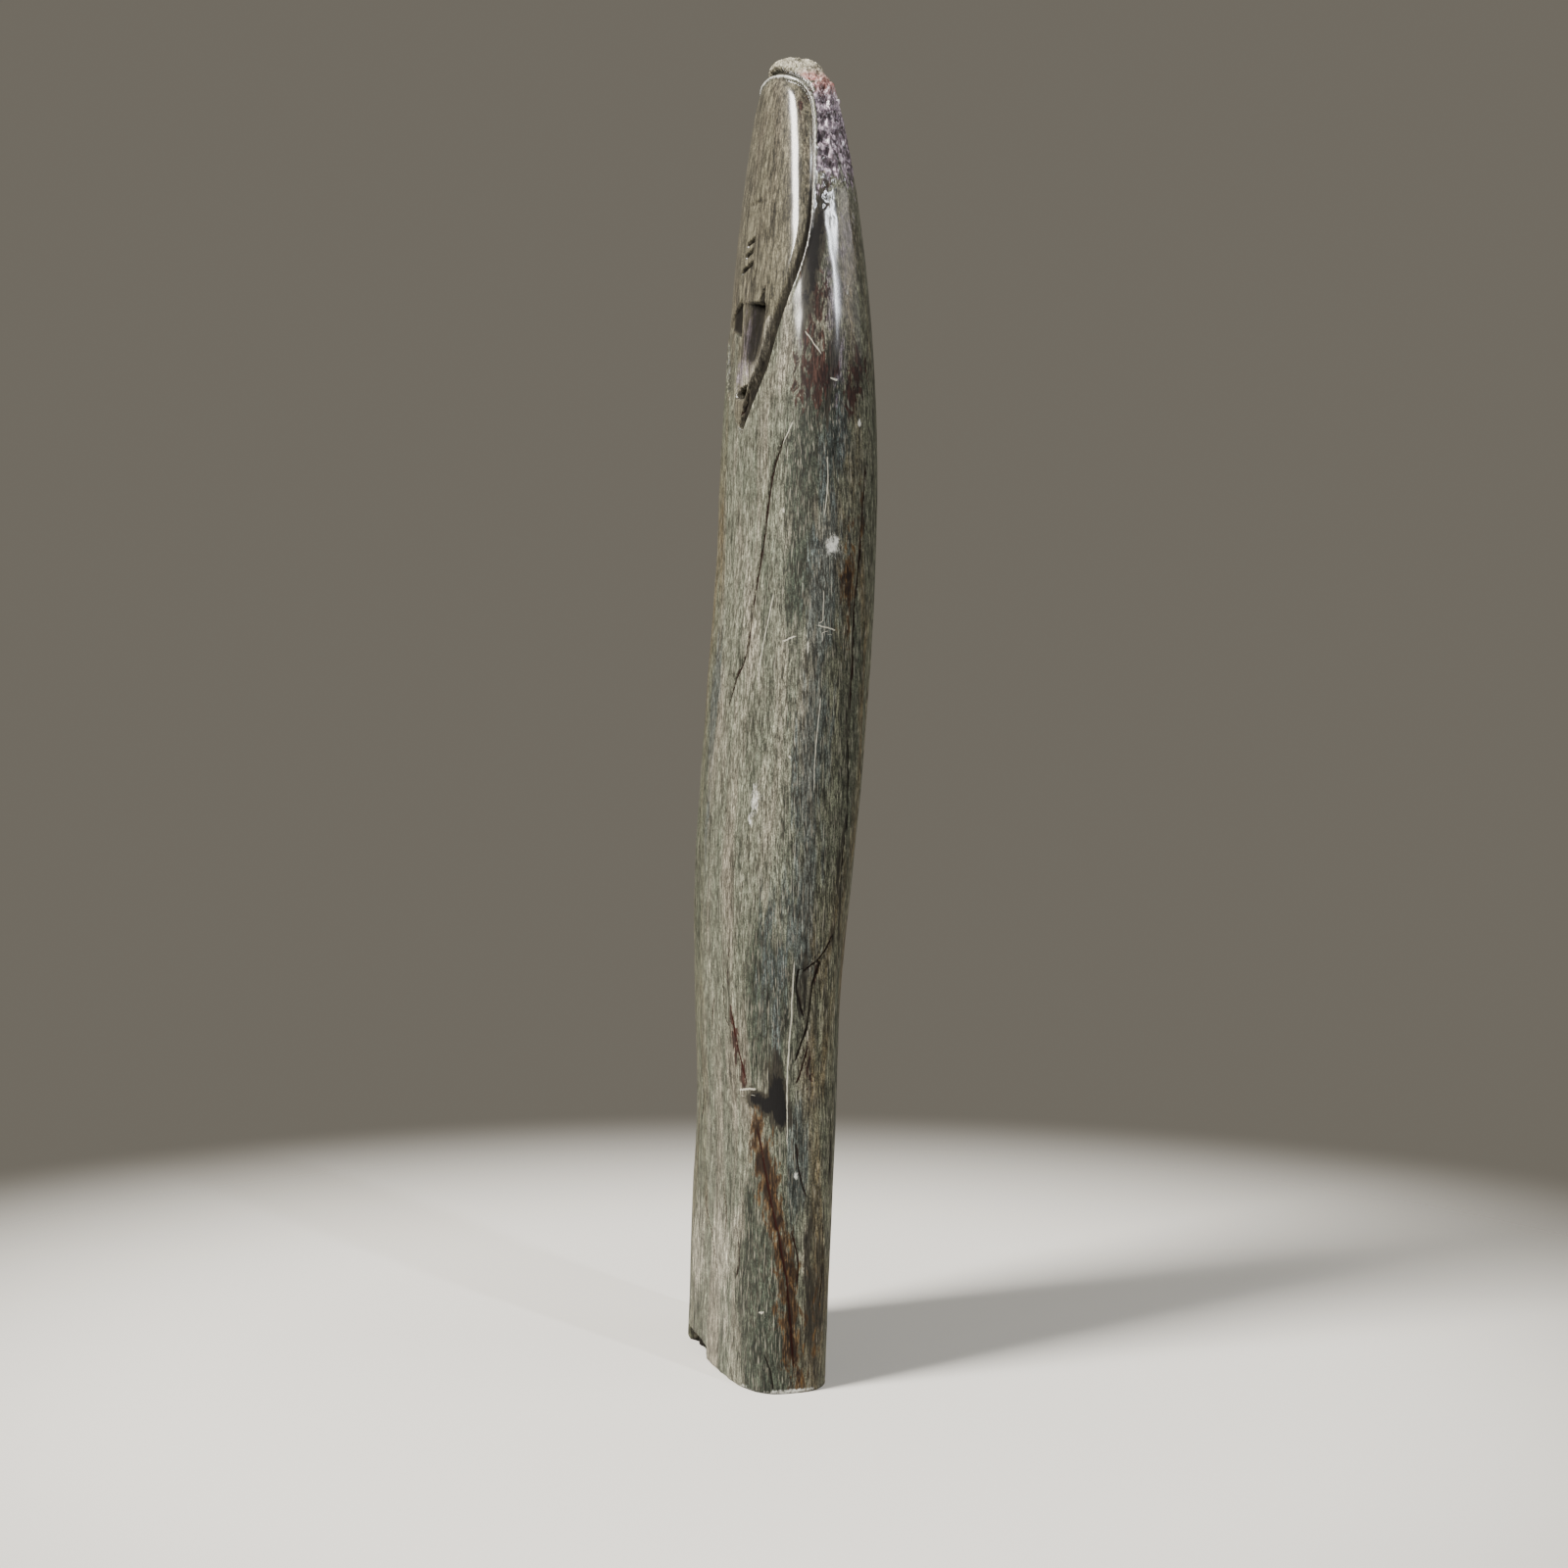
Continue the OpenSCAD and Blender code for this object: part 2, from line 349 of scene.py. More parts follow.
# Splinters along the back of the crown, where it tore off the block
SPLINTER_HEIGHT, SPLINTER_DEPTH = 317.5, 1.5
splinter = roughness_of(net, (2.0, 2.0, 6.0), 29, 2)
torn = hump(height - SPLINTER_HEIGHT, 4.0) * smooth(net[..., 1], 12, 16)
depth += torn * SPLINTER_DEPTH * splinter

# Cracks, from end to end: their points, half width and depth in mm, how rusty and how strong
CRACKS = [
    ([(26.4, 228.5), (22.6, 219.5), (20.9, 211), (19.4, 201), (17.6, 192), (16.0, 185), (15.2, 177.5),
      (12.9, 173), (10.2, 170), (7.5, 165), (4.6, 159)], 0.36, 0.6, 0.40, 1.0),
    ([(7.9, 240.8), (6.7, 238.4), (4.6, 236.2), (3.4, 235.5)], 0.18, 0.3, 0.5, 0.9),
    ([(8.2, 271.8), (6.8, 269.6), (5.0, 267)], 0.14, 0.2, 0.2, 0.7),
    ([(48.3, 223), (47.4, 207), (47.0, 193), (46.7, 184), (47.4, 170), (47.2, 158)], 0.22, 0.4, 0.4, 0.8),
    ([(47.0, 156), (48.4, 148), (49.4, 136), (48.8, 126), (49.6, 117)], 0.22, 0.35, 0.1, 0.8),
    ([(46.5, 108.5), (44.4, 105), (42.0, 102.4), (39.4, 100.6), (37.6, 99)], 0.2, 0.4, 0.2, 0.8),
    ([(43.2, 103.4), (41.8, 99.5), (40.7, 96.5), (40.1, 91), (39.2, 86.5), (37.8, 82.5),
      (35.6, 77)], 0.24, 0.5, 0.15, 0.85),
    ([(37.4, 101), (36.7, 96), (37.8, 91.5), (39.2, 87.5)], 0.24, 0.4, 0.1, 0.75),
    ([(39.6, 82.5), (38.6, 79.2), (37.6, 76.2), (36.2, 72.6)], 0.18, 0.3, 0.6, 0.8),
    ([(36.2, 60), (36.8, 54), (38.2, 49), (39.6, 45.5)], 0.18, 0.3, 0.3, 0.7),
    ([(9.8, 101), (9.4, 93.5), (10.0, 88), (12.6, 85.2), (14.6, 83.6)], 0.14, 0.25, 0.5, 0.7),
    ([(14.6, 88.2), (16.2, 83.6), (17.8, 79.5), (19.7, 76), (21.2, 72), (21.9, 70.8)], 0.26, 0.35, 1.0, 0.9),
    ([(24.8, 64), (26.4, 59), (28.4, 52.5), (30.4, 45), (32.8, 37), (34.4, 30.5), (35.6, 24), (36.8, 14),
      (38.0, 1)], 0.26, 0.35, 0.8, 0.85),
    ([(30.3, 9), (31.9, 5.6), (33.0, 0.5)], 0.16, 0.3, 0.1, 0.8),
    ([(46.2, 66), (46.5, 58), (46.0, 50)], 0.18, 0.3, 0.0, 0.7),
    ([(44.0, 40), (44.8, 30), (43.6, 19)], 0.16, 0.3, 0.3, 0.6),
    ([(-6.4, 43.5), (-6.2, 37), (-1, 32), (4, 26), (6.2, 22)], 0.18, 0.25, 0.7, 0.7),
    ([(7.6, 47), (8.2, 44.5), (10.5, 39.5), (10.2, 34)], 0.18, 0.25, 0.7, 0.75),
    ([(16.6, 38), (19.5, 30.5), (17.8, 24)], 0.16, 0.2, 0.4, 0.65),
    ([(-12.2, 71.5), (-9.9, 64.5), (-13.9, 57)], 0.18, 0.25, 0.8, 0.7),
    ([(35.7, 39), (37.9, 31), (37.5, 24)], 0.18, 0.25, 0.6, 0.7),
    ([(2.4, 91), (1.7, 88.5), (0.3, 82)], 0.18, 0.25, 0.9, 0.7),
    ([(62, 250), (64, 236), (62.5, 221), (66, 206), (64, 192)], 0.24, 0.4, 0.3, 0.9),
    ([(78, 176), (75, 160), (77, 141), (74, 128)], 0.22, 0.4, 0.2, 0.8),
    ([(-58, 214), (-55, 196), (-57.5, 180), (-54, 163), (-55, 150)], 0.24, 0.4, 0.3, 0.9),
    ([(-40, 120), (-43, 104), (-41, 90), (-44.5, 71)], 0.26, 0.45, 0.8, 0.9),
    ([(-66, 92), (-63, 78), (-66, 60), (-64, 44)], 0.2, 0.35, 0.2, 0.8),
    ([(-22, 206), (-24, 194), (-21.5, 181), (-23, 168)], 0.2, 0.3, 0.3, 0.8),
]
# Pale scratches and bruises left by handling: their points and half width in mm
SCRATCHES = [
    ([(25.2, 190), (24.2, 184.5), (23.2, 180), (22.4, 177), (21.8, 173.5), (21.6, 167)], 0.14),
    ([(36.2, 103), (35.8, 95.5), (35.4, 88), (34.7, 79.5), (34.2, 70), (34.2, 56)], 0.15),
    ([(35.5, 178), (35.7, 174.8)], 0.24),
    ([(37.3, 181.6), (42.2, 180.4)], 0.14),
    ([(38.3, 190), (38.6, 184), (38.9, 177)], 0.10),
    ([(29.0, 177.8), (32.7, 179.2)], 0.16),
    ([(29.0, 252.4), (31.0, 249.8), (33.8, 246.2)], 0.12),
    ([(28.0, 230.5), (26.8, 228), (25.2, 225)], 0.14),
    ([(17.8, 70.2), (21, 70.8), (25.6, 71.4)], 0.22),
    ([(26.7, 210), (26.9, 208.6)], 0.25),
    ([(45.0, 231), (45.2, 229.6)], 0.35),
    ([(33.0, 151), (33.2, 149.8)], 0.30),
    ([(39.6, 165), (39.2, 152), (39.5, 141)], 0.10),
    ([(36.3, 240.8), (38.2, 240.2)], 0.20),
    ([(37.2, 222), (37.6, 214), (37.2, 207)], 0.12),
    ([(28.4, 18.6), (29.6, 19.4)], 0.26),
    ([(-20, 150), (-19, 139)], 0.12),
    ([(70, 205), (73, 196)], 0.14),
    ([(-60, 130), (-57, 131)], 0.18),
]


def drawn(lines):
    """Fields that draw lines on the skin: the offset from the nearest in half widths, its strength
    and rust from 0 to 1, and the depth of its cut. A scratch has its points and half width only."""
    reach = 1.8  # how far from a line its fields matter
    offset, strength = np.full(height.shape, 9.0), np.zeros(height.shape)
    rust, cut = np.zeros(height.shape), np.zeros(height.shape)
    everywhere = np.ones(height.shape, bool)
    for points, half_width, *more in lines:
        path = dense(points, 40 * len(points)) if len(points) > 2 else np.linspace(*points, 60)
        off, share = offset_from(np.asarray(path, float), reach + 0.5, everywhere)
        off, share = off.reshape(height.shape), share.reshape(height.shape)
        fade = smooth(share, -0.01, 0.07) * (1 - smooth(share, 0.86, 1.01))
        taper = half_width * (0.35 + 0.65 * fade)
        here = fade * (1 - smooth(np.abs(off), reach * 0.6, reach)) * (more[2] if more else 1)
        nearer = here > strength
        offset = np.where(nearer, off / taper, offset)
        strength = np.maximum(strength, here)
        if more:
            rust = np.where(nearer, more[1], rust)
            cut = np.maximum(cut, more[0] * fade * hump(off, 1.5 * taper))
    return offset, strength, rust, cut


crack_offset, crack_strength, crack_rust, crack_depth = drawn(CRACKS)
scratch_offset, scratch_strength, _, _ = drawn(SCRATCHES)
depth += crack_depth

# Slow waves and short ripples left by the rasp, with the ripples rubbed flatter on the face
WAVE_DEPTH = 0.28
RIPPLE_DEPTH = 0.08
rasped = smooth(height, 4, 20) * (1 - smooth(height, 300, CROWN_FROM))
depth += WAVE_DEPTH * roughness_of(net, (18, 18, 42), 41, 2) * rasped
depth += (RIPPLE_DEPTH - 0.05 * in_face) * roughness_of(net, (4, 4, 11), 43, 2) * rasped

# Chip out of the front lower edge, and the worn corner all round the foot
CHIP_FROM, CHIP_TO = -20.5, -1.6
CHIP_HEIGHT = 4.0
CHIP_DEPTH = 2.4
chip = smooth(around, CHIP_FROM - 0.8, CHIP_FROM) * (1 - smooth(around, CHIP_TO - 0.2, CHIP_TO))
brow = CHIP_HEIGHT + 0.25 * roughness_of(net, 2, 53) - 0.8 * smooth(around, -7, CHIP_TO)
chip *= 1 - smooth(height, brow - 0.2, brow + 0.1)
depth += chip * (CHIP_DEPTH + 0.5 * roughness_of(net, 1.8, 51))
WORN_HEIGHT, WORN_DEPTH = 0.9, 0.5
NIBBLED_HEIGHT, NIBBLED_DEPTH = 1.6, 0.7
worn = np.clip(1 - height / WORN_HEIGHT, 0, 1)
depth += WORN_DEPTH * worn**2 * (1 + 0.8 * roughness_of(net, 3.5, 57))
nibbled = smooth(roughness_of(net, 3.0, 61, 2), 0.35, 0.8)
depth += NIBBLED_DEPTH * nibbled * np.clip(1 - height / NIBBLED_HEIGHT, 0, 1)

carved = net - normal * depth[..., None]
carved[..., 2] = np.clip(carved[..., 2], 0, HEIGHT)
carved[0, :, 2] = 0


def stone_mesh(name, points):
    """Closes the net into a mesh, with a flat foot and a small cap on the crown."""
    rows, columns = points.shape[:2]
    grid = np.arange(rows * columns).reshape(rows, columns)
    right = np.roll(grid, -1, axis=1)
    quads = np.stack([grid[:-1], right[:-1], right[1:], grid[1:]], axis=-1).reshape(-1, 4)
    foot_middle, crown_tip = rows * columns, rows * columns + 1
    ends = [(foot_middle, right[0, k], grid[0, k]) for k in range(columns)]
    ends += [(crown_tip, grid[-1, k], right[-1, k]) for k in range(columns)]
    places = np.vstack([points.reshape(-1, 3), [[0, 0, 0]], [points[-1].mean(axis=0)]]) * MM

    mesh = bpy.data.meshes.new(name)
    corners = np.concatenate([quads.ravel(), np.array(ends).ravel()])
    sizes = np.concatenate([np.full(len(quads), 4), np.full(len(ends), 3)])
    starts = np.concatenate([[0], np.cumsum(sizes)[:-1]])
    mesh.vertices.add(len(places))
    mesh.vertices.foreach_set("co", places.ravel())
    mesh.loops.add(len(corners))
    mesh.loops.foreach_set("vertex_index", corners.astype(np.int32))
    mesh.polygons.add(len(sizes))
    mesh.polygons.foreach_set("loop_start", starts.astype(np.int32))
    mesh.polygons.foreach_set("loop_total", sizes.astype(np.int32))
    mesh.update(calc_edges=True)
    mesh.validate()
    rounded = np.ones(len(sizes), bool)
    rounded[len(quads):len(quads) + columns] = False  # the sawn foot is flat
    mesh.polygons.foreach_set("use_smooth", rounded)
    return mesh


stone = bpy.data.objects.new("carved_stone", stone_mesh("carved_stone", carved))
bpy.context.collection.objects.link(stone)
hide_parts("carved_figure")
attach(stone, "root")

# ==================================================================================================
# Minerals, wear, wax and painted light
# Iron stained the serpentine rust and ochre, manganese black, and it has green, blue, lilac and pale
# veins. Handling bruised it, dirt and painted shade darken its cuts, painted highlights lie on its rim
# and ridges, and wax was rubbed into the head. Each is a field on the skin, or patches of (way round,
# height, half width, half height, strength), in mm.
# ==================================================================================================
RUST = [
    (17.4, 311.5, 1.3, 4, 0.85), (31.4, 259, 2.0, 6, 1.0), (30.6, 250, 3.0, 4.5, 0.95),
    (32, 243, 3.8, 6.5, 1.15), (33.5, 237, 2.6, 4.5, 1.0), (43.4, 242.5, 2.9, 6, 1.05),
    (42, 236.5, 2.0, 4.5, 0.95), (29.6, 276, 1.2, 12, 0.6), (14.5, 86, 1.1, 4, 0.65),
    (16.8, 80.5, 1.5, 5, 0.95), (20.2, 74, 1.5, 4, 1.0), (27.5, 270, 1.6, 9, 0.45),
    (41.5, 100, 1.3, 5, 0.55), (39.5, 77, 1.2, 5, 0.6), (12.5, 100, 1.0, 8, 0.45),
    (-40, 96, 2.5, 12, 0.8), (66, 232, 3, 9, 0.9), (-62, 190, 2, 10, 0.7),
]
OCHRE = [
    (25.4, 61, 2.4, 6, 1.2), (27.6, 55, 2.8, 6, 1.3), (29.4, 48.5, 2.8, 6, 1.35),
    (31.6, 42, 2.4, 6, 1.2), (33.4, 35.5, 2.3, 6, 1.05), (34.9, 28.5, 2.4, 7, 1.05),
    (36.1, 20, 2.5, 7, 1.05), (37.3, 11, 2.5, 7, 1.0), (38.4, 3, 2.4, 5, 0.9),
    (44.4, 192, 1.8, 12, 0.9), (44.8, 177, 1.2, 8, 0.6), (47, 206, 1.4, 9, 0.6),
    (42, 18, 2.4, 14, 0.55), (-42, 78, 2.2, 12, 0.8), (70, 120, 2.4, 16, 0.6),
]
DARK = [
    (25.6, 69.0, 3.8, 1.8, 1.7), (31.6, 69.8, 2.2, 5.2, 2.2), (29.5, 68.0, 3.4, 2.2, 2.0),
    (32.8, 66.0, 1.8, 3.0, 2.0), (29.5, 76, 3.2, 4.0, 0.75), (38.0, 95, 2.0, 9, 0.8),
    (47.0, 205, 2.2, 24, 0.3), (47.2, 160, 2.4, 32, 0.4), (48.4, 118, 2.6, 22, 0.5),
    (36.6, 246, 1.4, 16, 0.95), (46.8, 62, 2.6, 30, 0.5), (36.6, 18, 1.6, 16, 0.65),
    (53, 262, 5, 28, 0.55), (28.8, 272, 2.2, 17, 1.6), (25.6, 284, 1.3, 8, 0.6), (-50, 60, 2, 16, 0.5),
    (43.0, 18, 4.0, 22, 0.75), (36, 268, 4, 20, 0.4), (40, 40, 2.0, 10, 0.6),
]
# The patches at (23.2, 252) on the ridge right of the groove and (5.6, 246.4) on the tongue's lower end are
# painted highlights
PALE = [
    (8, 30, 8, 13, 0.9), (11.5, 12, 6, 9, 0.6), (-12, 24, 8, 14, 0.7), (16, 37, 3, 5, 0.8),
    (23, 140, 3, 5, 0.5), (16, 178, 8, 30, 0.55), (23.2, 252, 1.1, 11, 1.5), (39.5, 36, 1.4, 12, 0.6),
    (-60, 30, 8, 16, 0.6), (60, 160, 7, 20, 0.4), (14, 118, 8, 30, 0.35), (7, 205, 6, 16, 0.4),
    (5.6, 246.4, 5.0, 3.4, 1.7),
]
GREEN = [
    (25.8, 25, 5.5, 13, 1.5), (29.0, 9, 6.0, 11, 1.5), (23.6, 43, 3.2, 8, 0.9),
    (32.4, 198, 3.6, 18, 0.95), (31.5, 216, 4.0, 14, 0.95), (35, 228, 6, 15, 1.2), (24, 262, 2, 4, 0.3),
    (-30, 30, 6, 14, 0.6), (75, 60, 6, 22, 0.6), (50, 150, 3.5, 60, 0.45), (51, 70, 4, 60, 0.5),
    (29, 92, 8, 22, 0.9), (33, 165, 3, 20, 0.4),
]
BLUE = [
    (38.6, 190, 4.0, 26, 0.9), (38.4, 150, 4.2, 34, 0.8), (37.3, 112, 4.0, 24, 0.8),
    (31, 100, 5, 18, 0.6), (36.6, 55, 2.6, 13, 1.1), (-5, 165, 4, 20, 0.8), (-5, 135, 3, 16, 0.5),
    (39, 226, 4, 14, 0.7), (-48, 140, 8, 40, 0.7), (80, 110, 10, 40, 0.6),
]
LILAC = [
    (35.6, 259, 2.2, 7, 0.9), (37.6, 245, 3.0, 9, 0.8), (33.0, 268, 1.8, 8, 0.7),
    (29.0, 251, 2, 6, 0.4), (37, 276, 3, 9, 0.6), (38, 236, 2, 5, 0.5), (4, 254, 4, 9, 0.8),
    (0, 247, 3, 4, 0.8), (-34, 262, 5, 14, 0.5), (66, 262, 6, 16, 0.5),
]
SCUFF = [
    (39.6, 200.5, 2.0, 3.0, 1), (23.2, 140.5, 2.2, 4.2, 0.85), (21.6, 135.5, 1.4, 2.4, 0.7),
    (36.4, 51.5, 0.6, 0.8, 1.3), (45.1, 230.4, 0.5, 0.9, 1.4), (37.6, 240.5, 0.9, 0.4, 1),
    (37.4, 0.6, 7, 0.6, 1.0), (24, 0.5, 6, 0.5, 0.6), (38.5, 262, 1, 3, 0.6), (26.4, 253, 0.8, 6, 0.4),
    (-30, 200, 2, 3, 0.8), (72, 230, 2, 3, 0.8),
]


def patches(spots):
    """The strength of the strongest patch at each point, fading out past its edge."""
    total = np.zeros(height.shape)
    for x, z, half_width, half_height, strength in spots:
        gap = ((around - x) / half_width) ** 2 + ((height - z) / half_height) ** 2
        total = np.maximum(total, strength * np.exp(-0.7 * gap))
    return total


# Darkening painted into the cuts: dirt and painted shade in the groove, painted shade in the recess,
# the slits, the notches, the tongue, the hole and the chip, and a darker scar
across_groove = inward / along["dirt_and_shade"]
dirt_and_painted_shade = smooth(inward, -0.25, 0.05) * (1 - smooth(across_groove, 0.70, 1.0)) * (0.75 + 0.25 * slope)
dirt_and_painted_shade *= runs_out * (1 - 0.35 * smooth(climb, 0.5, 0.66) - 0.3 * smooth(climb, 0.80, 0.9))
# Painted shade in the recess under the crown's rim
recess_painted_shade = smooth(recess_share, 0.10, 0.65) * (1 - smooth(recess_share, 0.99, 1.06))
recess_painted_shade *= smooth(climb, 0.8, 0.9)
dirt_and_painted_shade = np.maximum(dirt_and_painted_shade, 0.9 * recess_painted_shade * head)
dirt_and_painted_shade = np.maximum(dirt_and_painted_shade, np.clip(1.5 * slits / SLIT_DEPTH, 0, 1))
dirt_and_painted_shade = np.maximum(dirt_and_painted_shade, np.clip(notches / 0.7, 0, 1))
# Painted shade in the tongue: darkest under the ledge's right end and down its right side
tongue_shade = np.exp(-np.clip(below, 0, 30) / 3.0) * smooth(across, 0.1, 0.8)
tongue_shade += 0.95 * hump(across - 0.62, 0.20)
tongue_shade = (tongue_shade + 0.40) * (1 - 0.85 * smooth(below, 13, 17))
tongue_shade *= 1 - 0.6 * hump(across - 0.08, 0.09)
dirt_and_painted_shade = np.maximum(dirt_and_painted_shade, in_tongue * head * np.clip(tongue_shade, 0, 1))
dirt_and_painted_shade = np.maximum(np.maximum(dirt_and_painted_shade, hole), chip)
dirt_and_painted_shade = np.maximum(dirt_and_painted_shade, 0.85 * np.clip(scar * (0.8 + roughness_of(net, 1.2, 33)), 0, 1))

# Wax, rubbed into the head and best of all into the face, but thinly into the tongue and the back
polish = np.clip(smooth(height, 240, 256) + 0.6 * in_face, 0, 1) * (1 - 0.5 * in_tongue * head)
polish *= 1 - 0.65 * smooth(np.abs(around), 37.0, 41.5)

# Pink crystals under the crown, and a painted highlight along the rim outside the groove
pinkness = smooth(around, 10, 15) * hump(height - 319, 3.0 + 0.8 * ragged) * outside
rim_painted_highlight = hump(inward + RIM_WIDTH / 2, 0.42) * (0.75 + 0.45 * smooth(climb, 0.80, 0.95))
rim_painted_highlight *= smooth(climb, 0.20, 0.42) * np.where(around > 0, 1, smooth(climb, 0.80, 0.90))
rim_painted_highlight *= 1 + 0.35 * roughness_of(net, (3, 3, 5), 71)

# The face is browned by handling, apart from its lower left
browned_face = in_face * (1 - 0.8 * smooth(-around, 1.0, 4.0) * (1 - smooth(height, 257, 262)))

# How far round towards the back a place is, as the stone turns from beige to green and brown
to_back = smooth(np.abs(around - 16), 12, 36)

# The pale tones also carry a painted highlight down the tongue's ridge. Wear carries the dirt with painted
# shade, and the scuffs with the painted highlight along the rim.
FIELDS = {
    "crystals": (crust, crown, pinkness),
    "stains": (patches(RUST), patches(OCHRE), patches(DARK)),
    "tones": (np.maximum(patches(PALE), 1.2 * ridge * head), patches(GREEN), patches(BLUE)),
    "wear_and_painted_light": (polish, dirt_and_painted_shade, np.maximum(patches(SCUFF), rim_painted_highlight)),
    "cracks": (crack_offset, crack_strength, crack_rust),
    "scratches": (scratch_offset, scratch_strength, browned_face),
    "bands": (patches(LILAC), to_back),
}
for name, parts in FIELDS.items():
    values = np.zeros((len(stone.data.vertices), 3), np.float32)
    values[:height.size, :len(parts)] = np.stack(parts, axis=-1).reshape(-1, len(parts))
    values[height.size:] = values[height.size - 1]
    stored = stone.data.attributes.new(name, "FLOAT_VECTOR", "POINT")
    stored.data.foreach_set("vector", values.ravel())


def linear(colour):
    """A colour given as sRGB hex, as the shader wants it."""
    parts = [int(colour[k:k + 2], 16) / 255 for k in (1, 3, 5)]
    return [c / 12.92 if c <= 0.04045 else ((c + 0.055) / 1.055) ** 2.4 for c in parts] + [1]


def add(tree, kind, inputs=(), out=0, stops=(), **settings):
    """Adds a node with its settings, gives each input a value or another node's output, and returns
    the output that is asked for. A colour ramp's stops are pairs of place and colour."""
    made = tree.nodes.new("ShaderNode" + kind)
    for name, value in settings.items():
        setattr(made, name, value)
    for k, (place, colour) in enumerate(stops):
        marks = made.color_ramp.elements
        mark = marks[k] if k in (0, len(stops) - 1) else marks.new(place)
        mark.position, mark.color = place, linear(colour)
    for name, value in (inputs.items() if isinstance(inputs, dict) else enumerate(inputs)):
        if isinstance(value, bpy.types.NodeSocket):
            tree.links.new(value, made.inputs[name])
        else:
            made.inputs[name].default_value = linear(value) if isinstance(value, str) else value
    return made.outputs[out] if made.outputs else None


def waxed_serpentine():
    """Grey-green serpentine, rasped along its fibres and rubbed down, so that the body is streaked
    and almost matt. Wax on the head gives it a bright sheen. Crown, crystals and cuts stay dull."""
    material = bpy.data.materials.new("waxed_serpentine")
    material.use_nodes = True
    tree = material.node_tree
    tree.nodes.clear()
    node = partial(add, tree)
    place = node("TexCoord", out="Object")

    def grain(size, length, detail, seed, rough=0.6):
        """Random lumps of a size across the stone, drawn out to a length along it, both in mm."""
        scale = (1 / (size * MM), 1 / (size * MM), 1 / (length * MM))
        drawn_out = node("Mapping", {"Vector": place, "Location": (seed,) * 3, "Scale": scale})
        return node("TexNoise", {
            "Vector": drawn_out, "Scale": 1.0, "Detail": detail, "Roughness": rough, "Distortion": 0.5})

    def field(name):
        """The three parts of a field on the skin."""
        vector = node("Attribute", out="Vector", attribute_name=name)
        return [node("SeparateXYZ", [vector], out=axis) for axis in "XYZ"]

    def broken(where, by, wander):
        """A field with its edge broken up by the grain."""
        uneven = node("Math", [by, 0.5], operation="SUBTRACT")
        return node("Math", [uneven, wander, where], operation="MULTIPLY_ADD")

    crust, crown, pink = field("crystals")
    rust, ochre, dark = field("stains")
    pale, green, blue = field("tones")
    polish, dirt_and_painted_shade, scuff_and_rim_highlight = field("wear_and_painted_light")
    crack_off, crack_force, crack_rust = field("cracks")
    scratch_off, scratch_force, face = field("scratches")
    lilac, to_back, _ = field("bands")

    # Veins and blotches at their real size. Real fibres are about 0.1 mm across, too fine to show
    # from half a metre, so fibres, dashes, threads and speckle are drawn 0.3 to 0.4 mm across.
    broad = grain(9, 60, 3, 3.1)
    streaks = grain(1.7, 18, 3, 11.7)
    blotches = grain(1.5, 4.0, 4, 29.3, 0.65)
    fibres = grain(0.38, 4.2, 3, 5.9)
    dashes = grain(0.32, 2.2, 2, 17.3)
    threads = grain(0.30, 4.2, 1, 41.9)
    speckle = grain(0.30, 0.42, 1, 83.1)
    crumbs = grain(0.75, 1.3, 4, 53.3, 0.7)
    shards = grain(1.1, 2.8, 4, 67.9, 0.62)

    # Ground: warm beige in front, grey-green at the +X edge, olive brown behind
    ground = node("ValToRGB", [broad], stops=[(0.36, "#696E5F"), (0.50, "#797B6B"), (0.64, "#868172")])
    greyed = node("ValToRGB", [broad], stops=[(0.36, "#575B4D"), (0.50, "#676857"), (0.64, "#675D46")])
    behind = node("Math", [streaks, 0.9, to_back], operation="MULTIPLY_ADD")
    behind = node("MapRange", [behind, 0.62, 1.05], interpolation_type="SMOOTHSTEP")
    ground = node("Mix", {0: behind, 6: ground, 7: greyed}, out=2, data_type="RGBA")
    browned = node("ValToRGB", [streaks], stops=[(0.40, "#534B3C"), (0.60, "#68614F")])
    browned_by = node("Math", [face, 0.75], operation="MULTIPLY")
    ground = node("Mix", {0: browned_by, 6: ground, 7: browned}, out=2, data_type="RGBA")

    def stain(under, where, colour, strength, edge, wander, by):
        """Soaks a colour into the ground where a field is high, its edge broken up by the grain."""
        uneven = broken(where, by, wander)
        share = node("MapRange", [uneven, edge, edge + 0.40], interpolation_type="SMOOTHSTEP")
        share = node("Math", [share, strength], operation="MULTIPLY")
        present = node("MapRange", [where, 0.02, 0.20], interpolation_type="SMOOTHSTEP")
        share = node("Math", [share, present], operation="MULTIPLY")
        return node("Mix", {0: share, 6: under, 7: colour}, out=2, data_type="RGBA")

    # The pale stain also paints highlights on the tongue, its ridge and the ridge right of the groove
    ground = stain(ground, pale, "#A5A090", 0.75, 0.34, 1.6, streaks)
    ground = stain(ground, green, "#30382F", 0.88, 0.26, 1.8, streaks)
    ground = stain(ground, blue, "#4A5252", 0.78, 0.28, 1.8, streaks)
    ground = stain(ground, lilac, "#746A78", 0.70, 0.36, 2.0, blotches)

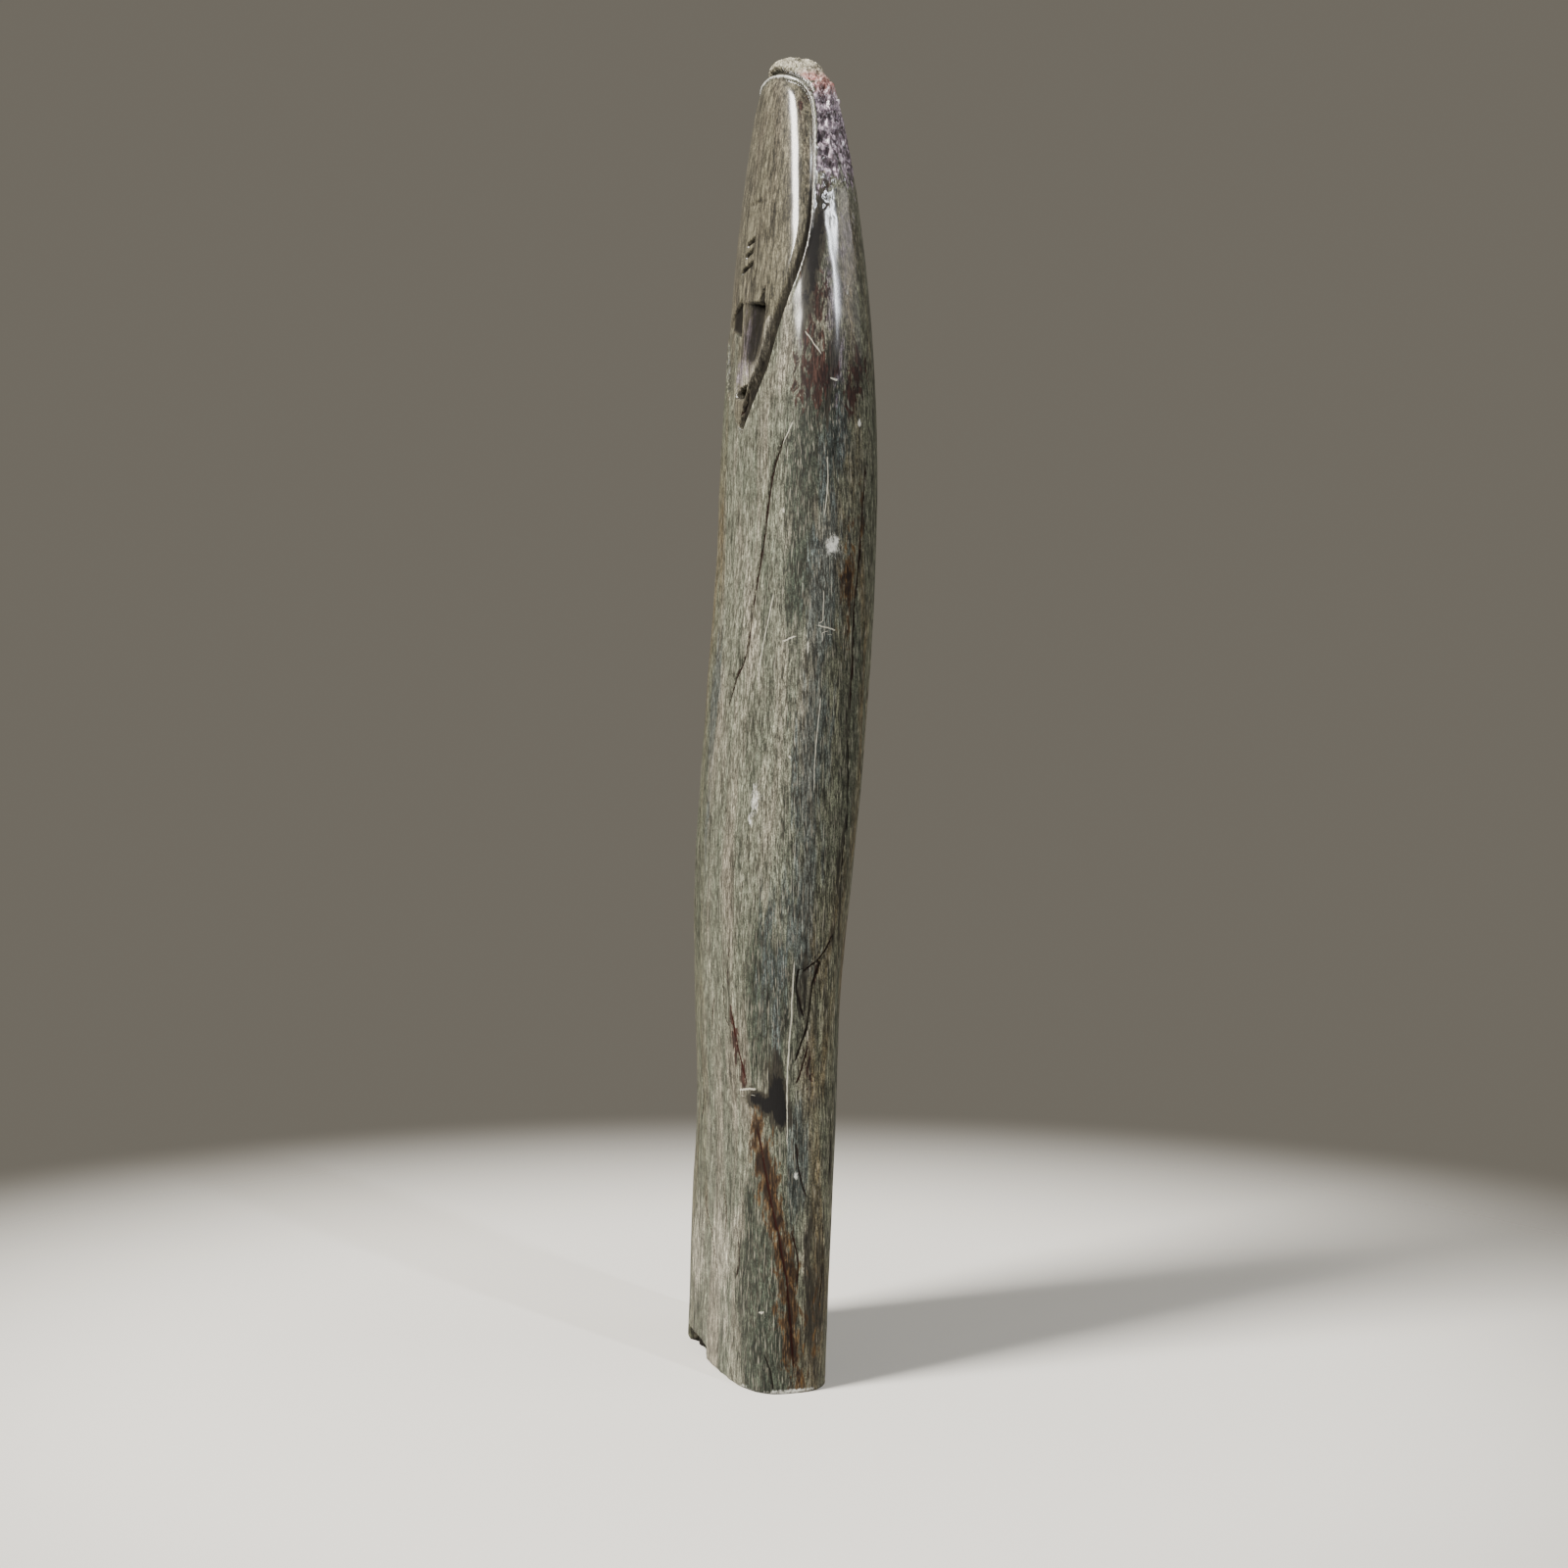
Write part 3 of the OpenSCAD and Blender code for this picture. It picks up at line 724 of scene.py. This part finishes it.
    # Fibres, speckle, streaks and blotches darken the ground, which is then brought back up, and
    # worn dark dashes and pale threads lie over it, all along the grain
    for lumps, darker, middle, lighter in (
            (fibres, "#767676", "#C0C0C0", "#FDFDFD"), (speckle, "#A0A0A0", "#CCCCCC", "#F4F4F4"),
            (streaks, "#8C8C8C", "#D0D0D0", "#FFFFFF"), (blotches, "#9A9A9A", "#D8D8D8", "#FFFFFF")):
        shade = node("ValToRGB", [lumps], stops=[(0.34, darker), (0.50, middle), (0.66, lighter)])
        ground = node("Mix", {0: 1.0, 6: ground, 7: shade}, out=2, data_type="RGBA",
                      blend_type="MULTIPLY")
    ground = node("VectorMath", {0: ground, "Scale": 4.55}, operation="SCALE")
    worn_by = node("Math", [streaks, -0.55, dashes], operation="MULTIPLY_ADD")
    dash = node("MapRange", [worn_by, 0.22, 0.09])
    calmer = node("Math", [face, -0.58, 0.80], operation="MULTIPLY_ADD")
    dash = node("Math", [dash, calmer], operation="MULTIPLY")
    ground = node("Mix", {0: dash, 6: ground, 7: "#1F1C16"}, out=2, data_type="RGBA")
    thread = node("MapRange", [threads, 0.58, 0.72])
    thinner = node("Math", [face, -0.18, 0.34], operation="MULTIPLY_ADD")
    thread = node("Math", [thread, thinner], operation="MULTIPLY")
    ground = node("Mix", {0: thread, 6: ground, 7: "#B5B0A0"}, out=2, data_type="RGBA")

    # Iron and manganese stains lie over the grain, which still shows through them
    dark_tones = node("ValToRGB", [fibres], stops=[(0.36, "#100E0B"), (0.62, "#2F2B23")])
    ochre_tones = node("ValToRGB", [fibres], stops=[
        (0.36, "#180E07"), (0.50, "#382613"), (0.66, "#634A2A")])
    rust_tones = node("ValToRGB", [fibres], stops=[
        (0.38, "#120706"), (0.52, "#26130F"), (0.68, "#4C322B")])
    ground = stain(ground, dark, dark_tones, 0.90, 0.36, 2.4, streaks)
    ground = stain(ground, ochre, ochre_tones, 0.90, 0.42, 3.4, blotches)
    ground = stain(ground, ochre, "#150A06", 0.85, 0.80, 3.2, blotches)
    ground = stain(ground, rust, rust_tones, 0.95, 0.42, 4.2, blotches)
    ground = stain(ground, dark, "#0A090A", 0.97, 0.95, 2.6, blotches)

    # Crystals: a dark matrix with lilac and white grains, pink under the crown, chalky on it
    grains = node("ValToRGB", [shards], stops=[
        (0.34, "#1C1619"), (0.46, "#52484E"), (0.54, "#8A7C88"), (0.61, "#BFB0BC"), (0.70, "#F0E9EC")])
    rosy = node("ValToRGB", [shards], stops=[(0.36, "#56342F"), (0.50, "#AA7C76"), (0.64, "#DCC8C2")])
    grains = node("Mix", {0: pink, 6: grains, 7: rosy}, out=2, data_type="RGBA")
    crusty = broken(crust, streaks, 2.6)
    crusty = node("MapRange", [crusty, 0.34, 0.60], interpolation_type="SMOOTHSTEP")
    present = node("MapRange", [crust, 0.02, 0.25], interpolation_type="SMOOTHSTEP")
    crusty = node("Math", [crusty, present], operation="MULTIPLY")
    ground = node("Mix", {0: crusty, 6: ground, 7: grains}, out=2, data_type="RGBA")
    chalk = node("ValToRGB", [crumbs], stops=[(0.36, "#4E4A42"), (0.50, "#98937F"), (0.64, "#D0CBBC")])
    chalk = node("Mix", {0: pink, 6: chalk, 7: rosy}, out=2, data_type="RGBA")
    chalky = node("MapRange", [crown, 0.3, 0.7], interpolation_type="SMOOTHSTEP")
    ground = node("Mix", {0: chalky, 6: ground, 7: chalk}, out=2, data_type="RGBA")

    # Bruises, the painted highlight along the rim, scratches and cracks
    pale_scuff_and_highlight = broken(scuff_and_rim_highlight, crumbs, 2.2)
    pale_scuff_and_highlight = node("MapRange", [pale_scuff_and_highlight, 0.5, 1.1], interpolation_type="SMOOTHSTEP")
    ground = node("Mix", {0: pale_scuff_and_highlight, 6: ground, 7: "#C4C5BF"}, out=2, data_type="RGBA")
    wobble = node("Math", [blotches, 0.5], operation="SUBTRACT")
    wobble = node("Math", [wobble, 5.0], operation="MULTIPLY")

    def line(off, force, softness):
        """1 on a line drawn by its offset, in half widths, and its force."""
        off = node("Math", [off, wobble], operation="ADD")
        off = node("Math", [off], operation="ABSOLUTE")
        on_it = node("MapRange", [off, 1 + softness, 1 - softness], interpolation_type="SMOOTHSTEP")
        strong = node("MapRange", [force, 0.15, 0.75], interpolation_type="SMOOTHSTEP")
        return node("Math", [on_it, strong], operation="MULTIPLY")

    scratch = line(scratch_off, scratch_force, 0.6)
    scratch_by = node("Math", [scratch, 0.6], operation="MULTIPLY")
    ground = node("Mix", {0: scratch_by, 6: ground, 7: "#CBC8B9"}, out=2, data_type="RGBA")
    crack = line(crack_off, crack_force, 0.7)
    crack_colour = node("Mix", {0: crack_rust, 6: "#100E0B", 7: "#2A0D07"}, out=2, data_type="RGBA")
    ground = node("Mix", {0: crack, 6: ground, 7: crack_colour}, out=2, data_type="RGBA")
    # Dirt and painted shade in the groove; painted shade in the recess, cuts, tongue, hole and chip
    dirt_and_shade_by = node("Math", [dirt_and_painted_shade, 0.94], operation="MULTIPLY")
    ground = node("Mix", {0: dirt_and_shade_by, 6: ground, 7: "#100D0A"}, out=2, data_type="RGBA")

    # Shine: the fibres are duller where they stand open, and a film of wax lies on the head only,
    # with none of it in hollows, on crown or crystals
    matt = node("Math", [crusty, 0.45, dirt_and_painted_shade], operation="MULTIPLY_ADD")
    matt = node("Math", [matt, crown], operation="MAXIMUM")
    matt = node("Math", [matt, crack], operation="MAXIMUM")
    dullness = node("MapRange", [fibres, 0.30, 0.70, 0.60, 0.76])
    dullness = node("Math", [matt, 0.25, dullness], operation="MULTIPLY_ADD", use_clamp=True)
    bare = node("Math", [matt, -1.0, 1.0], operation="MULTIPLY_ADD", use_clamp=True)
    wax = node("Math", [polish, bare], operation="MULTIPLY")

    # Relief in mm: fibres and dashes worn out of the surface, crystals standing proud, cracks
    relief = node("Math", [fibres, 0.09], operation="MULTIPLY")
    relief = node("Math", [dashes, 0.07, relief], operation="MULTIPLY_ADD")
    relief = node("Math", [threads, 0.03, relief], operation="MULTIPLY_ADD")
    rubbed = node("MapRange", [polish, 0.0, 1.0, 1.0, 0.22])
    relief = node("Math", [relief, rubbed], operation="MULTIPLY")
    rough_parts = node("Math", [crown, crusty], operation="MAXIMUM")
    rough_parts = node("Math", [rough_parts, shards], operation="MULTIPLY")
    relief = node("Math", [rough_parts, 0.55, relief], operation="MULTIPLY_ADD")
    relief = node("Math", [crack, -0.15, relief], operation="MULTIPLY_ADD")
    relief = node("Math", [scratch, -0.03, relief], operation="MULTIPLY_ADD")
    bump = node("Bump", {"Strength": 1.0, "Distance": MM, "Height": relief})

    # IOR typical of serpentine. Its rasped skin scatters most of its gloss, so what shows is the wax.
    shader = node("BsdfPrincipled", {
        "Base Color": ground, "Roughness": dullness, "Normal": bump, "IOR": 1.55,
        "Specular IOR Level": 0.15, "Coat Weight": wax, "Coat Roughness": 0.16, "Coat IOR": 1.55})
    node("OutputMaterial", {"Surface": shader})
    return material


stone.data.materials.append(waxed_serpentine())

# ==================================================================================================
# Floor, light and camera
# The figure stands on a floor of matt off-white paint that fades into a plain background. Daylight
# comes from a tall window on the left and a slim one on the right, with a little off a far wall,
# and the camera looks level at the figure, between its front and its +X edge.
# ==================================================================================================
CAMERA_TURN = math.radians(71)  # from -Y towards +X
CAMERA_DISTANCE = 0.500
CAMERA_HEIGHT = 0.144
CAMERA_SIDE = 0.0076
LENS = 45.7  # focal length in mm
CHEST = 0.2  # height that the lamps are aimed at

towards = np.array([math.sin(CAMERA_TURN), -math.cos(CAMERA_TURN), 0])
rightward = np.array([math.cos(CAMERA_TURN), math.sin(CAMERA_TURN), 0])

camera = bpy.data.objects.new("camera", bpy.data.cameras.new("camera"))
bpy.context.collection.objects.link(camera)
camera.data.lens = LENS
camera.location = towards * CAMERA_DISTANCE + rightward * CAMERA_SIDE + np.array([0, 0, CAMERA_HEIGHT])
camera.rotation_euler = (math.radians(90), 0, CAMERA_TURN)
bpy.context.scene.camera = camera


def lamp(name, turn, distance, up, width, tall, watts, colour):
    """A window of soft light in metres and watts, aimed at the figure's chest. Its turn is in
    degrees, measured as the camera's is."""
    data = bpy.data.lights.new(name, "AREA")
    data.shape, data.size, data.size_y = "RECTANGLE", width, tall
    data.energy, data.color = watts, linear(colour)[:3]
    made = bpy.data.objects.new(name, data)
    bpy.context.collection.objects.link(made)
    a = math.radians(turn)
    made.location = (math.sin(a) * distance, -math.cos(a) * distance, up)
    aim = Vector((0, 0, CHEST)) - made.location
    made.rotation_euler = aim.to_track_quat("-Z", "Y").to_euler()


lamp("window_left", 11, 1.3, 1.48, 0.46, 1.18, 104, "#FFFAF3")
lamp("window_right", 112, 1.3, 1.20, 0.035, 0.54, 12, "#F4F8FF")
lamp("far_wall", 150, 1.6, 0.80, 1.20, 1.20, 9, "#FFFAF3")

WALLS = "#8A8478"
WALLS_BRIGHTNESS = 0.66
world = bpy.data.worlds.new("studio")
bpy.context.scene.world = world
world.use_nodes = True
world.node_tree.nodes["Background"].inputs["Color"].default_value = linear(WALLS)
world.node_tree.nodes["Background"].inputs["Strength"].default_value = WALLS_BRIGHTNESS

FLOOR_HALF = 1.2
FADE_FROM, FADE_TO = 0.13, 0.38  # distances from the figure between which the floor fades out
corners = [(x * FLOOR_HALF, y * FLOOR_HALF, 0) for x, y in ((-1, -1), (1, -1), (1, 1), (-1, 1))]
floor_mesh = bpy.data.meshes.new("floor")
floor_mesh.from_pydata(corners, [], [(0, 1, 2, 3)])
floor = bpy.data.objects.new("floor", floor_mesh)
bpy.context.collection.objects.link(floor)


def pale_floor():
    """Matt off-white paint, rolled on smooth, so that it takes a soft even shadow."""
    material = bpy.data.materials.new("pale_floor")
    material.use_nodes = True
    tree = material.node_tree
    tree.nodes.clear()
    node = partial(add, tree)
    far = node("VectorMath", [node("TexCoord", out="Object")], out="Value", operation="LENGTH")
    fade = node("MapRange", [far, FADE_FROM, FADE_TO], interpolation_type="SMOOTHSTEP")
    paint = node("BsdfPrincipled", {"Base Color": "#E6E4DE", "Roughness": 0.7})
    both = node("MixShader", {0: fade, 1: paint, 2: node("BsdfTransparent")})
    node("OutputMaterial", {"Surface": both})
    return material


floor_mesh.materials.append(pale_floor())
